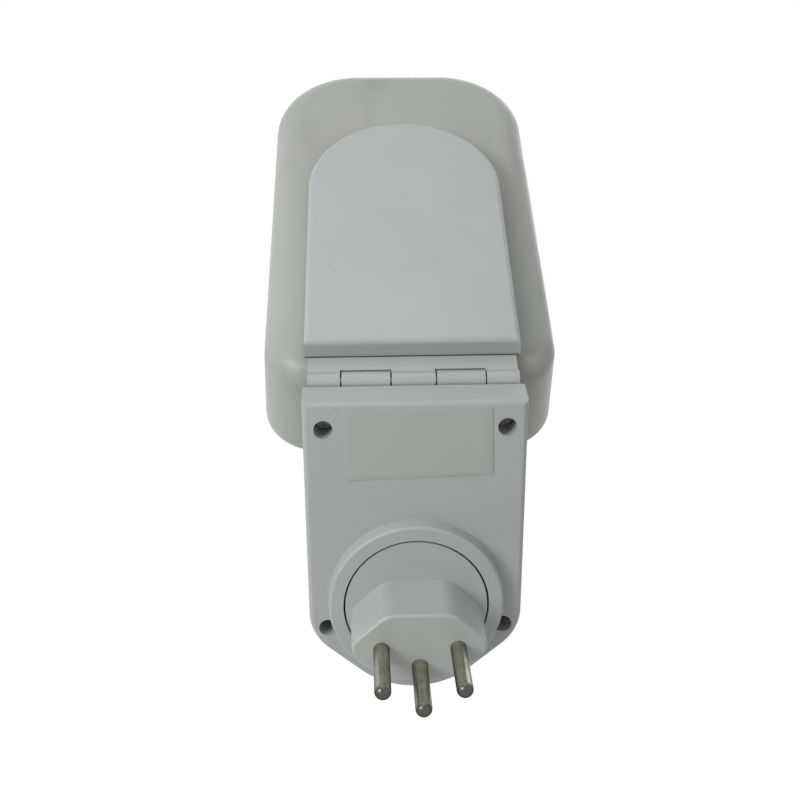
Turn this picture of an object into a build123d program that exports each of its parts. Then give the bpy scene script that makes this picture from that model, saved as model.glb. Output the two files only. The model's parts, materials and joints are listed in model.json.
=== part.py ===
"""Plug-in time switch with three round pins, an outlet on its front and a hinged timer head.

Frame: the origin lies midway between the two line pins on the plug's contact face. +X is right when
the back is seen, +Y runs from the wall into the room and +Z is up. All lengths are millimetres.
The head has its own directions: u runs out from the hinge along the head, n stands off its cap.
"""
import os
from math import cos, radians, sin, tan
from build123d import *

os.makedirs("parts", exist_ok=True)

# Clearances shared by all pieces
overrun = 1.0
slip = 0.3
pivot_gap = 0.05

# Plug pins
pin_radius = 2.0
pin_length = 19.0
pin_spacing = 19.0
earth_drop = 5.0
pin_root = 27.0
pin_root_radius = 1.0

# Plug insert: six-sided body on a round base that sits in the collar
plug_depth = 20.6
plug_half_width = 18.5
plug_half_height = 9.3
plug_flat_half = 8.3
plug_corner = 3.6
plug_shoulder = 6.0
plug_swell = 0.5
plug_edge = 0.8
base_radius = 18.55
base_gap = 0.5
base_rise = 2.1
ledge_thickness = 1.0
ledge_width = 2.2
neck_reach = 3.4
ring_thickness = 1.5
ring_width = 3.0

# Collar around the plug insert
collar_height = 4.2
collar_wall = 3.75
collar_flare = 0.4
collar_edge = 0.8

# Socket unit
wall = 2.0
collar_margin = 5.1
unit_depth = 34.0
foot_shoulder = -8.8
foot_slant = 40.6
foot_corner = 14.0
foot_round = 23.0
back_top = 57.0
ridge_top = 58.8
ridge_depth = 8.2
channel_floor = 55.9
channel_end = 15.2
slope_foot = 19.9
parting_depth = 16.0
seam_edge = 0.3
back_edge = 1.3
front_edge = 1.6

# Housing screws and their wells
screw_head_radius = 2.2
screw_head_height = 2.0
screw_shank_radius = 1.2
screw_length = 7.4
screw_slot_width = 0.7
screw_slot_depth = 0.9
screw_slot_share = 0.7
well_radius = 2.4
well_depth = 9.0
well_floor = 1.5
well_hole_radius = 1.6
upper_screw_inset = 5.2
upper_screw_z = 50.2
lower_screw_inset = 4.9
lower_screw_z = -6.3
upper_boss_radius = 4.0
lower_boss_radius = 3.4

# Outlet on the front
outlet_radius = 18.8
outlet_drop = 1.0
outlet_recess = 11.5
outlet_floor = 2.5
outlet_flange = 1.3
outlet_flange_thickness = 1.5
outlet_clearance = 0.8
outlet_hole_radius = 2.45
contact_radius = 4.0
contact_bore = 2.05
contact_mouth = 3.2
contact_mouth_depth = 2.0
contact_length = 8.0
contact_tail_radius = 1.6

# Power board inside the socket unit
board_thickness = 1.6
board_side_gap = 2.3
power_board_height = 20.0
power_board_rise = 35.0
pad_radius = 2.0
pad_height = 2.0
pad_inset = 3.0
relay_width = 20.0
relay_height = 15.0
relay_depth = 12.5
relay_shift = 9.0
relay_edge = 0.6
capacitor_radius = 4.5
capacitor_length = 11.0
capacitor_shift = 11.0

# Hinge
hinge_depth = 11.3
hinge_rise = 59.1
barrel_radius = 2.5
hinge_width = 54.4
unit_knuckle = 12.4
unit_knuckle_x = 12.2
knuckle_gap = 0.4
hinge_pin_radius = 1.0
web_half = 1.9

# Head: lean above the horizontal, hinge leaf and cap; an inset counts back from the hood's far end
head_lean = 34.0
leaf_thickness = 2.0
leaf_start = 3.0
leaf_arch_inset = 68.8
cap_half_width = 28.4
cap_start = 7.4
cap_height = 5.5
cap_wall = 1.8
cap_draft = 5.0
cap_edge = 1.4

# Hood: deep drafted tub of milky plastic, open towards the room
hood_width = 83.0
hood_length = 136.0
hood_start = 1.0
hood_depth = 32.0
hood_wall = 2.0
hood_far_corner = 28.0
hood_near_corner = 16.0
hood_draft = 4.0
hood_edge = 8.0

# Fascia that closes the hood
fascia_thickness = 2.0
fascia_gap = 0.55
fascia_edge = 0.6
post_radius = 3.5
post_x = 17.0
post_low = 22.0
upper_post_rise = 14.8
head_screw_radius = 1.4
head_screw_head = 2.6
head_screw_head_height = 1.6
head_screw_length = 14.0
standoff_radius = 2.0
standoff_x = 28.3
lower_standoff_inset = 3.0
upper_standoff_inset = 3.5

# Display, keys and timer board, placed from the hood's far end and then from one another
window_width = 50.0
window_height = 22.0
window_thickness = 1.2
window_corner = 2.0
window_rim = 2.0
window_inset = 33.0
display_border = 1.0
board_rise = 5.0
timer_board_width = 60.0
timer_board_foot = 9.0
timer_board_inset = 19.0
key_radius = 4.5
manual_key_radius = 8.0
key_pitch = 20.0
key_row_drop = 40.0
manual_key_drop = 22.0
key_proud = 1.2
key_flange = 1.2
key_flange_thickness = 0.8
key_stem_radius = 2.0
key_stem_length = 0.9
key_edge = 0.5
seat_gap = 0.1
key_travel = 0.6
switch_size = 6.0
switch_spare = 0.15
battery_radius = 10.0
battery_thickness = 3.2
battery_drop = 2.0

# Places worked out from the sizes above
back_y = plug_depth
front_y = back_y + unit_depth
parting_y = back_y + parting_depth
base_y = back_y - collar_height
well_y = back_y + well_depth
boss_y = well_y + well_floor
board_y = back_y + wall + pad_height
hinge_y = back_y + hinge_depth
outlet_back_y = front_y - outlet_recess - outlet_floor
contact_back_y = outlet_back_y - contact_length
collar_top_radius = base_radius + base_gap + collar_wall
collar_base_radius = collar_top_radius + collar_flare
unit_half_width = collar_base_radius + collar_margin
foot_apex = foot_shoulder - unit_half_width * tan(radians(foot_slant))
upper_screw_x = unit_half_width - upper_screw_inset
lower_screw_x = unit_half_width - lower_screw_inset
power_board_width = 2 * (unit_half_width - wall - board_side_gap)
screw_slot_length = 2 * screw_head_radius * screw_slot_share
lean = radians(head_lean)
hinge_point = Vector(0, hinge_y, hinge_rise)
along = Vector(0, cos(lean), sin(lean))
normal = Vector(0, -sin(lean), cos(lean))
leaf_top = leaf_thickness / 2
hood_top = -leaf_top
rim_n = hood_top - hood_depth
fascia_n = rim_n + fascia_thickness
timer_board_n = fascia_n + board_rise
hood_mid = hood_start + hood_length / 2
hood_end = hood_start + hood_length
leaf_arch = hood_end - leaf_arch_inset
post_high = leaf_arch + upper_post_rise
window_u = hood_end - window_inset
key_row = window_u - key_row_drop
manual_key_row = key_row - manual_key_drop
battery_u = key_row - battery_drop
timer_board_low = manual_key_row - timer_board_foot
timer_board_high = hood_end - timer_board_inset
standoff_low = timer_board_low + lower_standoff_inset
standoff_high = timer_board_high - upper_standoff_inset
leaf_half_width = hinge_width / 2
screw_places = [(side * upper_screw_x, upper_screw_z) for side in (-1, 1)]
screw_places += [(side * lower_screw_x, lower_screw_z) for side in (-1, 1)]
screw_bosses = [upper_boss_radius, upper_boss_radius, lower_boss_radius, lower_boss_radius]
post_places = [(side * post_x, u) for side in (-1, 1) for u in (post_low, post_high)]
standoff_places = [(side * standoff_x, u) for side in (-1, 1) for u in (standoff_low, standoff_high)]
key_places = {
    "mode_key": (-key_pitch, key_row, key_radius),
    "hour_key": (0, key_row, key_radius),
    "minute_key": (key_pitch, key_row, key_radius),
    "manual_key": (0, manual_key_row, manual_key_radius),
}
line_places = {
    "line": (-pin_spacing / 2, 0),
    "neutral": (pin_spacing / 2, 0),
    "earth": (0, -earth_drop),
}


def wall_plane(y):
    """Plane parallel to the wall at depth y, with its normal towards the wall."""
    return Plane.XZ.offset(-y)


def head_plane(n):
    """Plane parallel to the head's cap at height n, with X across and u upwards in the sketch."""
    return Plane(origin=hinge_point + normal * n, x_dir=(1, 0, 0), z_dir=normal)


def head_section(x):
    """Plane across the hinge at x, with u and n as its sketch axes."""
    return Plane(origin=hinge_point + Vector(x, 0, 0), x_dir=along, z_dir=(1, 0, 0))


def unit_outline(inset):
    """Outline of the socket unit seen from the back: straight sides on a slanted foot with wide rounds."""
    with BuildSketch(mode=Mode.PRIVATE) as outline:
        with BuildLine():
            Polyline(
                (-unit_half_width, ridge_top),
                (-unit_half_width, foot_shoulder),
                (0, foot_apex),
                (unit_half_width, foot_shoulder),
                (unit_half_width, ridge_top),
                close=True,
            )
        make_face()
        fillet(outline.vertices().sort_by(Axis.Y)[1:3], foot_corner)
        fillet(outline.vertices().sort_by(Axis.Y)[0], foot_round)
        if inset > 0:
            offset(amount=-inset, kind=Kind.INTERSECTION)
    return outline.sketch


def unit_side(inset):
    """Side profile of the socket unit: back face, ridge, hinge channel and sloping front."""
    below = foot_apex - overrun
    with BuildSketch(mode=Mode.PRIVATE) as side:
        with BuildLine():
            Polyline(
                (back_y, below),
                (back_y, back_top),
                (back_y + ridge_depth, ridge_top),
                (back_y + ridge_depth, channel_floor),
                (back_y + channel_end, channel_floor),
                (front_y, slope_foot),
                (front_y, below),
                close=True,
            )
        make_face()
        if inset > 0:
            offset(amount=-inset, kind=Kind.INTERSECTION)
    return side.sketch


def unit_block(inset, start, end):
    """Solid of the socket unit between two depths, set in by a wall."""
    with BuildPart(mode=Mode.PRIVATE) as block:
        with BuildSketch(wall_plane(start)):
            add(unit_outline(inset))
        extrude(amount=start - end)
        with BuildSketch(Plane.YZ):
            add(unit_side(inset))
        extrude(amount=unit_half_width + overrun, both=True, mode=Mode.INTERSECT)
    return block.part


def plug_outline(growth):
    """Six-sided outline of the plug with rounded corners and wider shoulders, grown on all sides."""
    tall = plug_half_height + growth
    wide = plug_half_width + growth
    flat = plug_flat_half + growth / 2
    with BuildSketch(mode=Mode.PRIVATE) as outline:
        with BuildLine():
            Polyline(
                (-wide, 0), (-flat, tall), (flat, tall), (wide, 0), (flat, -tall), (-flat, -tall), close=True
            )
        make_face()
        rows = outline.vertices().group_by(Axis.Y)
        fillet(rows[0] + rows[-1], plug_shoulder)
        across = outline.vertices().sort_by(Axis.X)
        fillet([across[0], across[-1]], plug_corner)
    return outline.sketch


def arch_outline(half_width, start):
    """Arched outline on the head: square at the hinge, round at the far end."""
    with BuildSketch(mode=Mode.PRIVATE) as outline:
        with Locations((0, leaf_arch)):
            Circle(half_width)
        with Locations((0, (start + leaf_arch) / 2)):
            Rectangle(2 * half_width, leaf_arch - start)
    return outline.sketch


def hood_outline(inset):
    """Outline of the hood's rim: tight corners at the hinge, wide ones at the far end."""
    with BuildSketch(mode=Mode.PRIVATE) as outline:
        with Locations((0, hood_mid)):
            Rectangle(hood_width - 2 * inset, hood_length - 2 * inset)
        corners = outline.vertices().sort_by(Axis.Y)
        fillet(corners[:2], hood_near_corner - inset)
        fillet(outline.vertices().sort_by(Axis.Y)[-2:], hood_far_corner - inset)
    return outline.sketch


def save(piece, name):
    """Label a finished piece and write its file."""
    piece.part.label = name
    export_step(piece.part, f"parts/{name}.step")


# Rear housing: back shell with the collar, the screw wells and the two fixed hinge knuckles
with BuildPart() as rear_housing:
    add(unit_block(0, back_y, parting_y))
    fillet(rear_housing.faces().sort_by(Axis.Y)[0].edges(), back_edge)
    add(unit_block(wall, back_y + wall, parting_y + overrun), mode=Mode.SUBTRACT)
    with BuildSketch(wall_plane(back_y)):
        with Locations((0, base_rise)):
            Circle(collar_base_radius)
    with BuildSketch(wall_plane(base_y)):
        with Locations((0, base_rise)):
            Circle(collar_top_radius)
    loft()
    fillet(rear_housing.faces().sort_by(Axis.Y)[0].edges(), collar_edge)
    with BuildSketch(wall_plane(back_y + wall - overrun / 2)):
        for place, radius in zip(screw_places, screw_bosses):
            with Locations(place):
                Circle(radius)
    extrude(amount=-(boss_y - back_y - wall + overrun / 2))
    with BuildSketch(wall_plane(back_y + wall)):
        with Locations((0, power_board_rise)):
            with GridLocations(
                power_board_width - 2 * pad_inset, power_board_height - 2 * pad_inset, 2, 2
            ):
                Circle(pad_radius)
    extrude(amount=-pad_height)
    with BuildSketch(wall_plane(base_y - overrun)):
        with Locations((0, base_rise)):
            Circle(base_radius + base_gap)
    extrude(amount=-(collar_height + wall - ledge_thickness + overrun), mode=Mode.SUBTRACT)
    with BuildSketch(wall_plane(back_y)):
        with Locations((0, base_rise)):
            Circle(base_radius - ledge_width)
    extrude(amount=-(wall + overrun), mode=Mode.SUBTRACT)
    with BuildSketch(wall_plane(base_y - overrun)):
        with Locations(*screw_places):
            Circle(well_radius)
    extrude(amount=-(well_y - base_y + overrun), mode=Mode.SUBTRACT)
    with BuildSketch(wall_plane(well_y - overrun)):
        with Locations(*screw_places):
            Circle(well_hole_radius)
    extrude(amount=-(well_floor + 2 * overrun), mode=Mode.SUBTRACT)
    for side in (-1, 1):
        knuckle_plane = Plane.YZ.offset(side * unit_knuckle_x - unit_knuckle / 2)
        with BuildSketch(knuckle_plane):
            with Locations((hinge_y, hinge_rise)):
                Circle(barrel_radius)
            with Locations((hinge_y, (hinge_rise + channel_floor - wall / 2) / 2)):
                Rectangle(2 * web_half, hinge_rise - channel_floor + wall / 2)
        extrude(amount=unit_knuckle)
    with BuildSketch(Plane.YZ):
        with Locations((hinge_y, hinge_rise)):
            Circle(hinge_pin_radius + pivot_gap)
    extrude(amount=leaf_half_width, both=True, mode=Mode.SUBTRACT)
    chamfer(rear_housing.faces().sort_by(Axis.Y)[-1].outer_wire().edges(), seam_edge)
save(rear_housing, "rear_housing")

# Front housing: front shell with the sloping shoulder, the outlet opening and the screw bosses
with BuildPart() as boss_ends:
    with BuildSketch(wall_plane(boss_y)):
        for place, radius in zip(screw_places, screw_bosses):
            with Locations(place):
                Circle(radius - slip)
    extrude(amount=boss_y - parting_y)
    add(unit_block(wall + slip, back_y, front_y), mode=Mode.INTERSECT)

with BuildPart() as boss_roots:
    with BuildSketch(wall_plane(parting_y)):
        for place, radius in zip(screw_places, screw_bosses):
            with Locations(place):
                Circle(radius - slip)
    extrude(amount=parting_y - front_y)
    add(unit_block(slip, back_y, front_y), mode=Mode.INTERSECT)

with BuildPart() as front_housing:
    add(unit_block(0, parting_y, front_y))
    fillet(front_housing.faces().sort_by(Axis.Y)[-1].edges(), front_edge)
    add(unit_block(wall, parting_y - overrun, front_y - wall), mode=Mode.SUBTRACT)
    add(boss_ends.part)
    add(boss_roots.part)
    with BuildSketch(wall_plane(boss_y - overrun)):
        with Locations(*screw_places):
            Circle(screw_shank_radius + pivot_gap)
    extrude(amount=-(screw_length - screw_head_height + overrun), mode=Mode.SUBTRACT)
    with BuildSketch(wall_plane(front_y - wall - overrun)):
        with Locations((0, -outlet_drop)):
            Circle(outlet_radius + slip)
    extrude(amount=-(wall + 2 * overrun), mode=Mode.SUBTRACT)
    seam_face = front_housing.faces().filter_by(Axis.Y).group_by(Axis.Y)[1].sort_by(SortBy.AREA)[-1]
    chamfer(seam_face.outer_wire().edges(), seam_edge)
save(front_housing, "front_housing")

# Housing screws, sunk in their wells
with BuildPart() as housing_screws:
    with BuildSketch(wall_plane(well_y - screw_head_height)):
        with Locations(*screw_places):
            Circle(screw_head_radius)
    extrude(amount=-screw_head_height)
    with BuildSketch(wall_plane(well_y)):
        with Locations(*screw_places):
            Circle(screw_shank_radius)
    extrude(amount=-(screw_length - screw_head_height))
    with BuildSketch(wall_plane(well_y - screw_head_height)):
        with Locations(*screw_places):
            Rectangle(screw_slot_length, screw_slot_width)
            Rectangle(screw_slot_width, screw_slot_length)
    extrude(amount=-screw_slot_depth, mode=Mode.SUBTRACT)
save(housing_screws, "housing_screws")

# Plug insert: drafted six-sided body on the round base, with a neck through the back wall
with BuildPart() as plug_insert:
    with BuildSketch(wall_plane(0)):
        add(plug_outline(0))
    with BuildSketch(wall_plane(base_y)):
        add(plug_outline(plug_swell))
    loft()
    fillet(plug_insert.faces().sort_by(Axis.Y)[0].edges(), plug_edge)
    with BuildSketch(wall_plane(base_y)):
        with Locations((0, base_rise)):
            Circle(base_radius)
    extrude(amount=-(collar_height + wall - ledge_thickness))
    with BuildSketch(wall_plane(back_y)):
        with Locations((0, base_rise)):
            Circle(base_radius - ledge_width - slip)
    extrude(amount=-(wall + neck_reach))
    with BuildSketch(wall_plane(-overrun)):
        with Locations(*line_places.values()):
            Circle(pin_root_radius + pivot_gap)
    extrude(amount=-(back_y + wall + neck_reach + 2 * overrun), mode=Mode.SUBTRACT)
save(plug_insert, "plug_insert")

# Ring that holds the plug insert from inside the back wall
with BuildPart() as plug_ring:
    with BuildSketch(wall_plane(back_y + wall)):
        with Locations((0, base_rise)):
            Circle(base_radius - ledge_width - slip + ring_width)
            Circle(base_radius - ledge_width - slip + pivot_gap, mode=Mode.SUBTRACT)
    extrude(amount=-ring_thickness)
save(plug_ring, "plug_ring")

# Three solid plug pins with round tips and slimmer roots inside the plug
for wire, place in line_places.items():
    with BuildPart() as plug_pin:
        with BuildSketch(wall_plane(-pin_length)):
            with Locations(place):
                Circle(pin_radius)
        extrude(amount=-pin_length)
        fillet(plug_pin.faces().sort_by(Axis.Y)[0].edges(), pin_radius - pivot_gap)
        with BuildSketch(wall_plane(0)):
            with Locations(place):
                Circle(pin_root_radius)
        extrude(amount=-pin_root)
    save(plug_pin, f"{wire}_pin")

# Outlet insert: round cup with the six-sided recess and three contact holes
with BuildPart() as outlet_insert:
    with BuildSketch(wall_plane(outlet_back_y)):
        with Locations((0, -outlet_drop)):
            Circle(outlet_radius)
    extrude(amount=outlet_back_y - front_y)
    with BuildSketch(wall_plane(front_y - wall)):
        with Locations((0, -outlet_drop)):
            Circle(outlet_radius + outlet_flange)
    extrude(amount=outlet_flange_thickness)
    with BuildSketch(wall_plane(front_y - outlet_recess)):
        add(plug_outline(outlet_clearance))
    extrude(amount=-(outlet_recess + overrun), mode=Mode.SUBTRACT)
    with BuildSketch(wall_plane(outlet_back_y - overrun)):
        with Locations(*line_places.values()):
            Circle(outlet_hole_radius)
    extrude(amount=-(outlet_floor + 2 * overrun), mode=Mode.SUBTRACT)
save(outlet_insert, "outlet_insert")

# Contact sleeves behind the outlet; the neutral and earth ones reach back to their pins
for wire, place in line_places.items():
    with BuildPart() as contact:
        with BuildSketch(wall_plane(contact_back_y)):
            with Locations(place):
                Circle(contact_radius)
        extrude(amount=-contact_length)
        if wire != "line":
            with BuildSketch(wall_plane(contact_back_y)):
                with Locations(place):
                    Circle(contact_tail_radius)
            extrude(amount=contact_back_y - pin_root)
        with BuildSketch(wall_plane(contact_back_y + wall)):
            with Locations(place):
                Circle(contact_bore)
        extrude(amount=-contact_length, mode=Mode.SUBTRACT)
        with BuildSketch(wall_plane(outlet_back_y - contact_mouth_depth)):
            with Locations(place):
                Circle(contact_mouth)
        extrude(amount=-contact_length, mode=Mode.SUBTRACT)
    save(contact, f"{wire}_contact")

# Power board with its relay and capacitor
with BuildPart() as power_board:
    with BuildSketch(wall_plane(board_y)):
        with Locations((0, power_board_rise)):
            Rectangle(power_board_width, power_board_height)
    extrude(amount=-board_thickness)
save(power_board, "power_board")

with BuildPart() as relay:
    with BuildSketch(wall_plane(board_y + board_thickness)):
        with Locations((relay_shift, power_board_rise)):
            Rectangle(relay_width, relay_height)
    extrude(amount=-relay_depth)
    fillet(relay.edges().filter_by(Axis.Y), relay_edge)
save(relay, "relay")

with BuildPart() as capacitor:
    with BuildSketch(wall_plane(board_y + board_thickness)):
        with Locations((-capacitor_shift, power_board_rise)):
            Circle(capacitor_radius)
    extrude(amount=-capacitor_length)
save(capacitor, "capacitor")

# Hinge pin through all five knuckles
with BuildPart() as hinge_pin:
    with BuildSketch(Plane.YZ):
        with Locations((hinge_y, hinge_rise)):
            Circle(hinge_pin_radius)
    extrude(amount=leaf_half_width, both=True)
save(hinge_pin, "hinge_pin")

# Hinge leaf of the head: arched plate with two outer knuckles and one in the middle
inner_edge = unit_knuckle_x - unit_knuckle / 2 - knuckle_gap
outer_edge = unit_knuckle_x + unit_knuckle / 2 + knuckle_gap
knuckle_spans = [(-leaf_half_width, -outer_edge), (-inner_edge, inner_edge), (outer_edge, leaf_half_width)]
with BuildPart() as hinge_leaf:
    with BuildSketch(head_plane(-leaf_top)):
        add(arch_outline(leaf_half_width, leaf_start))
    extrude(amount=leaf_thickness)
    for start, end in knuckle_spans:
        with BuildSketch(head_section(start)):
            Circle(barrel_radius)
            with Locations((leaf_start / 2 + overrun / 2, 0)):
                Rectangle(leaf_start + overrun, leaf_thickness)
        extrude(amount=end - start)
    with BuildSketch(head_section(0)):
        Circle(hinge_pin_radius + pivot_gap)
    extrude(amount=leaf_half_width + overrun, both=True, mode=Mode.SUBTRACT)
    with BuildSketch(head_plane(-leaf_top - overrun)):
        with Locations(*post_places):
            Circle(head_screw_radius + pivot_gap)
    extrude(amount=leaf_thickness + 2 * overrun, mode=Mode.SUBTRACT)
save(hinge_leaf, "hinge_leaf")

# Cap: drafted hollow cover with softened edges
with BuildPart() as head_cap:
    with BuildSketch(head_plane(leaf_top)):
        add(arch_outline(cap_half_width, cap_start))
    extrude(amount=cap_height, taper=cap_draft)
    fillet(head_cap.faces().sort_by(Axis(hinge_point, normal))[-1].edges(), cap_edge)
    with BuildSketch(head_plane(leaf_top)):
        add(arch_outline(cap_half_width - cap_wall, cap_start + cap_wall))
    extrude(amount=cap_height - cap_wall, taper=cap_draft, mode=Mode.SUBTRACT)
save(head_cap, "head_cap")

# Hood: drafted tub with a rounded shoulder, pierced for the head screws
with BuildPart() as hood:
    with BuildSketch(head_plane(rim_n)):
        add(hood_outline(0))
    extrude(amount=hood_depth, taper=hood_draft)
    fillet(hood.faces().sort_by(Axis(hinge_point, normal))[-1].edges(), hood_edge)
    offset(amount=-hood_wall, openings=hood.faces().sort_by(Axis(hinge_point, normal))[0])
    with BuildSketch(head_plane(hood_top + overrun)):
        with Locations(*post_places):
            Circle(head_screw_radius + pivot_gap)
    extrude(amount=-(hood_wall + 2 * overrun), mode=Mode.SUBTRACT)
save(hood, "hood")

# Fascia: plate with the display opening, the key holes, four posts and four standoffs
with BuildPart() as fascia:
    with BuildSketch(head_plane(rim_n)):
        add(hood_outline(hood_wall + fascia_gap))
    extrude(amount=fascia_thickness)
    fillet(fascia.faces().sort_by(Axis(hinge_point, normal))[0].edges(), fascia_edge)
    with BuildSketch(head_plane(fascia_n)):
        with Locations(*post_places):
            Circle(post_radius)
    extrude(amount=hood_top - hood_wall - fascia_n)
    with BuildSketch(head_plane(fascia_n)):
        with Locations(*standoff_places):
            Circle(standoff_radius)
    extrude(amount=board_rise)
    with BuildSketch(head_plane(hood_top)):
        with Locations(*post_places):
            Circle(head_screw_radius + pivot_gap)
    extrude(amount=-head_screw_length, mode=Mode.SUBTRACT)
    with BuildSketch(head_plane(rim_n)):
        with Locations((0, window_u)):
            RectangleRounded(window_width + 2 * slip, window_height + 2 * slip, window_corner + slip)
    extrude(amount=window_thickness, mode=Mode.SUBTRACT)
    with BuildSketch(head_plane(rim_n)):
        with Locations((0, window_u)):
            Rectangle(window_width - 2 * window_rim, window_height - 2 * window_rim)
    extrude(amount=fascia_thickness, mode=Mode.SUBTRACT)
    with BuildSketch(head_plane(rim_n)):
        for across, out, radius in key_places.values():
            with Locations((across, out)):
                Circle(radius + slip)
    extrude(amount=fascia_thickness, mode=Mode.SUBTRACT)
save(fascia, "fascia")

# Display window and the display behind it
with BuildPart() as display_window:
    with BuildSketch(head_plane(rim_n)):
        with Locations((0, window_u)):
            RectangleRounded(window_width, window_height, window_corner)
    extrude(amount=window_thickness)
save(display_window, "display_window")

with BuildPart() as display:
    with BuildSketch(head_plane(fascia_n + seat_gap)):
        with Locations((0, window_u)):
            Rectangle(window_width + 2 * display_border, window_height + 2 * display_border)
    extrude(amount=board_rise - seat_gap)
save(display, "display")

# Timer board on the standoffs, pierced where posts pass
with BuildPart() as timer_board:
    with BuildSketch(head_plane(timer_board_n)):
        with Locations((0, (timer_board_low + timer_board_high) / 2)):
            Rectangle(timer_board_width, timer_board_high - timer_board_low)
        with Locations(*post_places):
            Circle(post_radius + slip, mode=Mode.SUBTRACT)
    extrude(amount=board_thickness)
save(timer_board, "timer_board")

# Push switches under the keys, on the board
key_top_n = fascia_n + seat_gap + key_flange_thickness + key_stem_length
switch_n = key_top_n + key_travel + switch_spare
with BuildPart() as push_switches:
    with BuildSketch(head_plane(switch_n)):
        for across, out, radius in key_places.values():
            with Locations((across, out)):
                Rectangle(switch_size, switch_size)
    extrude(amount=timer_board_n - switch_n)
save(push_switches, "push_switches")

# Button cell that keeps the time
with BuildPart() as backup_cell:
    with BuildSketch(head_plane(timer_board_n + board_thickness)):
        with Locations((0, battery_u)):
            Circle(battery_radius)
    extrude(amount=battery_thickness)
save(backup_cell, "backup_cell")

# Head screws through leaf and hood into the fascia's posts, hidden under the cap
with BuildPart() as head_screws:
    with BuildSketch(head_plane(leaf_top)):
        with Locations(*post_places):
            Circle(head_screw_head)
    extrude(amount=head_screw_head_height)
    with BuildSketch(head_plane(leaf_top)):
        with Locations(*post_places):
            Circle(head_screw_radius)
    extrude(amount=-head_screw_length)
save(head_screws, "head_screws")

# Keys: round caps with a flange behind the fascia and a stem over the switch
for name, (across, out, radius) in key_places.items():
    with BuildPart() as key:
        with BuildSketch(head_plane(rim_n - key_proud)):
            with Locations((across, out)):
                Circle(radius)
        extrude(amount=key_proud + fascia_thickness + seat_gap)
        fillet(key.faces().sort_by(Axis(hinge_point, normal))[0].edges(), key_edge)
        with BuildSketch(head_plane(fascia_n + seat_gap)):
            with Locations((across, out)):
                Circle(radius + key_flange)
        extrude(amount=key_flange_thickness)
        with BuildSketch(head_plane(fascia_n + seat_gap)):
            with Locations((across, out)):
                Circle(key_stem_radius)
        extrude(amount=key_flange_thickness + key_stem_length)
    save(key, name)
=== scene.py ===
"""Dresses the plug-in time switch: finishes for its moulded and metal pieces, the bare back label, the
painted shadow line under the cap, the display's digits and frame, the marks on the keys, and a plain studio
stage.

Lengths are metres in the part's own frame. The head's pieces are placed in head directions: x across,
u out from the hinge along the head and n up off its cap.
"""
import json
from math import pi, radians

import bmesh
import bpy
import numpy as np
from bpy.props import FloatProperty, FloatVectorProperty, IntProperty, PointerProperty, StringProperty
from bpy.types import Operator, Panel, PropertyGroup
from mathutils import Matrix, Vector


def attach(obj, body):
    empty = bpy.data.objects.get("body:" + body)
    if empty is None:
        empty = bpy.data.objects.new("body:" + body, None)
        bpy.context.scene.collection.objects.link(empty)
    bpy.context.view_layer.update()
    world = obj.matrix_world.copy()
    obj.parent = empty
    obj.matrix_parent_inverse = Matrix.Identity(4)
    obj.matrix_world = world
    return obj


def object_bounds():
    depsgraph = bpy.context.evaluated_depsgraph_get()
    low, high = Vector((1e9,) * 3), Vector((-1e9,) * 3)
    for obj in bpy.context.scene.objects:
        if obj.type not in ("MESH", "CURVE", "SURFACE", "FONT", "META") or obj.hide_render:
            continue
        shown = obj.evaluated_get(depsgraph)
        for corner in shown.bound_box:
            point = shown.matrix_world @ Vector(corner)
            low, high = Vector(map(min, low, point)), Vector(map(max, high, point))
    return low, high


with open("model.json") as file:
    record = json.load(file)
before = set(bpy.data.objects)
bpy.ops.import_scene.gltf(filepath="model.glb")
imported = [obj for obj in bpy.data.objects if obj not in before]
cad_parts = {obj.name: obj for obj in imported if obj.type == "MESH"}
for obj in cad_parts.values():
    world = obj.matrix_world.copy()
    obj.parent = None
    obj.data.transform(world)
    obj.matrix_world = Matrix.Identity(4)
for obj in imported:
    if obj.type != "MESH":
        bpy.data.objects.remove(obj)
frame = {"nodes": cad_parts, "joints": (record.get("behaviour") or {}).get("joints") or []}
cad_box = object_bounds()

bl_info = {
    "name": "Plug-in time switch",
    "version": (1, 0, 0),
    "blender": (4, 5, 0),
    "location": "View3D > Sidebar > Time switch",
    "description": "Finishes and fine pieces of a plug-in time switch with a hinged head",
    "category": "Object",
}

JOINTS = {joint["name"]: joint for joint in frame["joints"]}
HINGE = np.array(JOINTS["head_hinge"]["pos_m"], float)
ACROSS = np.array(JOINTS["head_hinge"]["axis"], float)
NORMAL = np.array(JOINTS["mode_key_press"]["axis"], float)
ALONG = np.cross(NORMAL, ACROSS)
HEAD_AXES = np.stack([ACROSS, ALONG, NORMAL])
KEYS = ("mode_key", "hour_key", "minute_key", "manual_key")

# Segments of a digit, by name: centre across, centre up, and whether it lies flat, in half digit sizes
SEGMENT_SHARES = {
    "a": (0, 1, True), "b": (1, 0.5, False), "c": (1, -0.5, False), "d": (0, -1, True),
    "e": (-1, -0.5, False), "f": (-1, 0.5, False), "g": (0, 0, True),
}
DIGIT_SEGMENTS = {
    "0": "abcdef", "1": "bc", "2": "abged", "3": "abgcd", "4": "fgbc",
    "5": "afgcd", "6": "afgedc", "7": "abc", "8": "abcdefg", "9": "abcdfg",
}
# Layout of the display and the keys, in strokes: a segment's gap at its corner, half the height of a day
# mark and its drop below the digits, and the pitch of the bars on a key
SEGMENT_GAP = 0.55
DAY_MARK_HALF = 0.35
DAY_MARK_DROP = 2.4
BAR_PITCH = 2.4
# Pitch of the day marks in digit pitches, and the two dots' heights in half digit heights
DAY_MARK_PITCH = 0.5
DOT_HEIGHTS = (-0.5, 0.5)

# Rings of a plate: steps round its edge, and the inner rings as shares of its top
EDGE_STEPS = 4
INNER_RINGS = (0.02, 0.5, 0.85)
# Faces that meet at more than this are shaded with a crease
CREASE = radians(40)

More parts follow.
